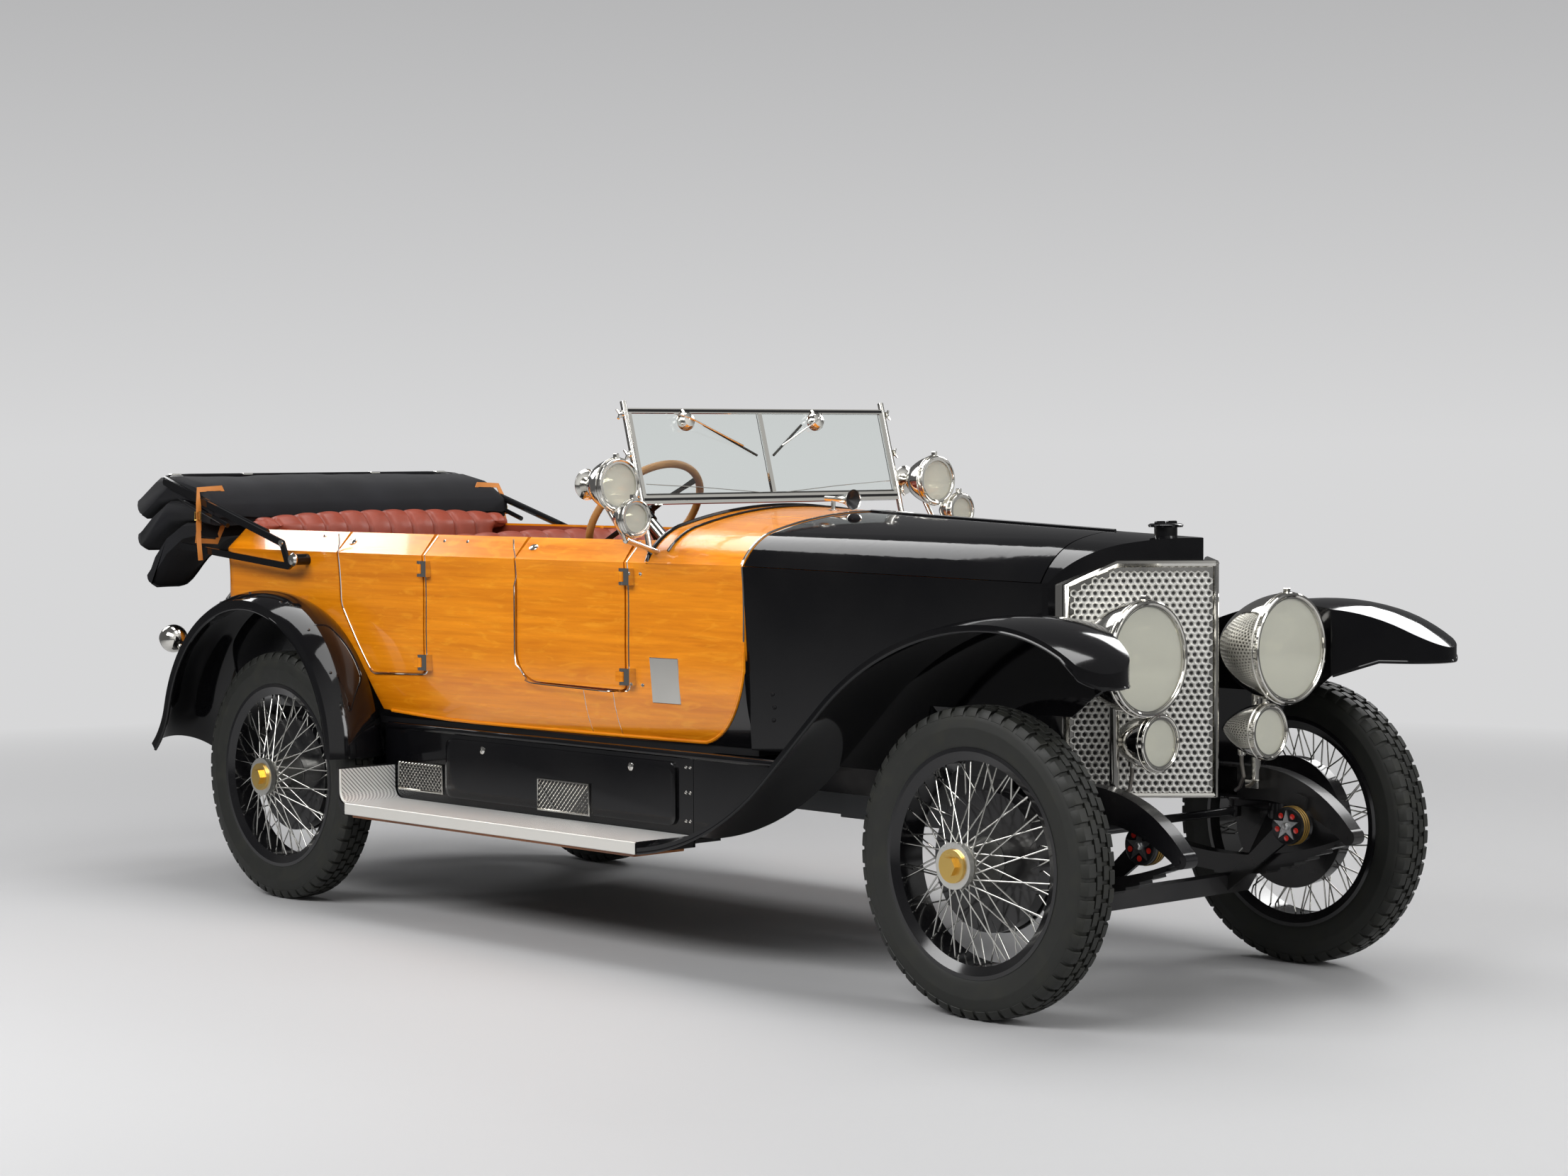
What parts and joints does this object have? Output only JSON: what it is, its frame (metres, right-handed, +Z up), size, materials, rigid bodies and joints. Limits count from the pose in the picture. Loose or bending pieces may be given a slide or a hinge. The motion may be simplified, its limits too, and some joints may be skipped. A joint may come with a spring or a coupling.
{
  "type": "sport_phaeton_car",
  "caption": "Vintage open sport phaeton with varnished wood body, black swept fenders, wire wheels, nickel lamps, V radiator, leather seats and a folded cloth hood",
  "frame": {"origin": "On the ground under the middle of the car's box", "axes": "+X forward along the car, +Y to the car's left, +Z up"},
  "size_m": [5.01, 1.73, 1.7514],
  "materials": {
    "tyre_rubber": "dark grey rubber with block tread",
    "bright_metal": "polished nickel plate",
    "chassis_black": "gloss black enamel",
    "damper_alloy": "bright cast alloy",
    "cast_grey": "painted casting",
    "steel_grey": "heat dulled steel",
    "gloss_black": "deep gloss black coach paint",
    "varnished_wood": "amber varnish over long grain",
    "clear_glass": "clear flat glass",
    "rim_wrap": "tan cord wrap",
    "brown_leather": "pleated red-brown leather",
    "hood_cloth": "matte black hood cloth"
  },
  "bodies": {
    "car": {"body_tub": "varnished_wood", "bonnet_sides": "gloss_black", "chassis_rails": "chassis_black", "cross_members": "chassis_black", "dashboard": "varnished_wood", "door_hinges": "bright_metal", "engine_block": "cast_grey", "exhaust": "steel_grey", "floor": "varnished_wood", "folded_hood": "hood_cloth", "friction_dampers": "damper_alloy", "front_axle": "chassis_black", "front_fenders": "gloss_black", "front_lamp_stands": "bright_metal", "fuel_tank": "gloss_black", "hood_irons": "gloss_black", "lamp_lenses": "clear_glass", "leaf_springs": "chassis_black", "radiator_core": "bright_metal", "radiator_shell": "gloss_black", "rear_axle": "chassis_black", "rear_fenders": "gloss_black", "running_boards": "chassis_black", "scuttle": "varnished_wood", "scuttle_lamps": "bright_metal", "seat_backs": "brown_leather", "seat_cushions": "brown_leather", "spare_tyre": "tyre_rubber", "spare_wire_wheel": "bright_metal", "steering_column": "bright_metal", "tail_lamps": "bright_metal", "valances": "gloss_black", "windscreen_frame": "bright_metal", "windscreen_glass": "clear_glass"},
    "road_wheel_front_left": {"wire_wheel_front_left": "bright_metal", "tyre_front_left": "tyre_rubber"},
    "front_door_left": {"door_front_left": "varnished_wood"},
    "road_wheel_front_right": {"wire_wheel_front_right": "bright_metal", "tyre_front_right": "tyre_rubber"},
    "front_door_right": {"door_front_right": "varnished_wood"},
    "road_wheel_rear_left": {"wire_wheel_rear_left": "bright_metal", "tyre_rear_left": "tyre_rubber"},
    "rear_door_left": {"door_rear_left": "varnished_wood"},
    "road_wheel_rear_right": {"wire_wheel_rear_right": "bright_metal", "tyre_rear_right": "tyre_rubber"},
    "rear_door_right": {"door_rear_right": "varnished_wood"},
    "knuckle_left": {"steering_knuckle_left": "chassis_black"},
    "bonnet_top_left": {"bonnet_left": "gloss_black"},
    "knuckle_right": {"steering_knuckle_right": "chassis_black"},
    "bonnet_top_right": {"bonnet_right": "gloss_black"},
    "track_rod": {"tie_rod": "chassis_black"},
    "hand_wheel": {"steering_wheel": "rim_wrap"}
  },
  "joints": [
    {"name": "steer_left", "type": "hinge", "parent": "car", "child": "knuckle_left", "pos_m": [1.985, 0.6, 0.44], "axis": [0, 0, 1], "range_deg": [-28, 28]},
    {"name": "steer_right", "type": "hinge", "parent": "car", "child": "knuckle_right", "pos_m": [1.985, -0.6, 0.44], "axis": [0, 0, 1], "range_deg": [-28, 28]},
    {"name": "tie_rod_pivot", "type": "hinge", "parent": "knuckle_left", "child": "track_rod", "pos_m": [1.815, 0.6, 0.4643], "axis": [0, 0, 1], "range_deg": [-28, 28]},
    {"name": "steering_wheel_turn", "type": "hinge", "parent": "car", "child": "hand_wheel", "pos_m": [0.07, -0.318, 1.379], "axis": [-0.788, 0, 0.6157], "range_deg": [-340, 340]},
    {"name": "spin_front_left", "type": "hinge", "parent": "knuckle_left", "child": "road_wheel_front_left", "pos_m": [1.985, 0.715, 0.44], "axis": [0, 1, 0], "continuous": true},
    {"name": "spin_front_right", "type": "hinge", "parent": "knuckle_right", "child": "road_wheel_front_right", "pos_m": [1.985, -0.715, 0.44], "axis": [0, 1, 0], "continuous": true},
    {"name": "spin_rear_left", "type": "hinge", "parent": "car", "child": "road_wheel_rear_left", "pos_m": [-1.415, 0.715, 0.44], "axis": [0, 1, 0], "continuous": true},
    {"name": "spin_rear_right", "type": "hinge", "parent": "car", "child": "road_wheel_rear_right", "pos_m": [-1.415, -0.715, 0.44], "axis": [0, 1, 0], "continuous": true},
    {"name": "front_door_left_hinge", "type": "hinge", "parent": "car", "child": "front_door_left", "pos_m": [0.304, 0.61734, 1.03], "axis": [0, 0, -1], "range_deg": [0, 70]},
    {"name": "front_door_right_hinge", "type": "hinge", "parent": "car", "child": "front_door_right", "pos_m": [0.304, -0.61734, 1.03], "axis": [0, 0, 1], "range_deg": [0, 70]},
    {"name": "rear_door_left_hinge", "type": "hinge", "parent": "car", "child": "rear_door_left", "pos_m": [-0.711, 0.6612, 1.03], "axis": [0, 0, -1], "range_deg": [0, 70]},
    {"name": "rear_door_right_hinge", "type": "hinge", "parent": "car", "child": "rear_door_right", "pos_m": [-0.711, -0.6612, 1.03], "axis": [0, 0, 1], "range_deg": [0, 70]},
    {"name": "bonnet_left_hinge", "type": "hinge", "parent": "car", "child": "bonnet_top_left", "pos_m": [1.3295, 0, 1.3725], "axis": [0.999, 0, -0.0436], "range_deg": [0, 50]},
    {"name": "bonnet_right_hinge", "type": "hinge", "parent": "car", "child": "bonnet_top_right", "pos_m": [1.3295, 0, 1.3725], "axis": [-0.999, 0, 0.0436], "range_deg": [0, 50]}
  ],
  "couplings": [
    {"joint": "steer_right", "follows": "steer_left", "ratio": 1},
    {"joint": "tie_rod_pivot", "follows": "steer_left", "ratio": -1},
    {"joint": "steering_wheel_turn", "follows": "steer_left", "ratio": 12}
  ]
}
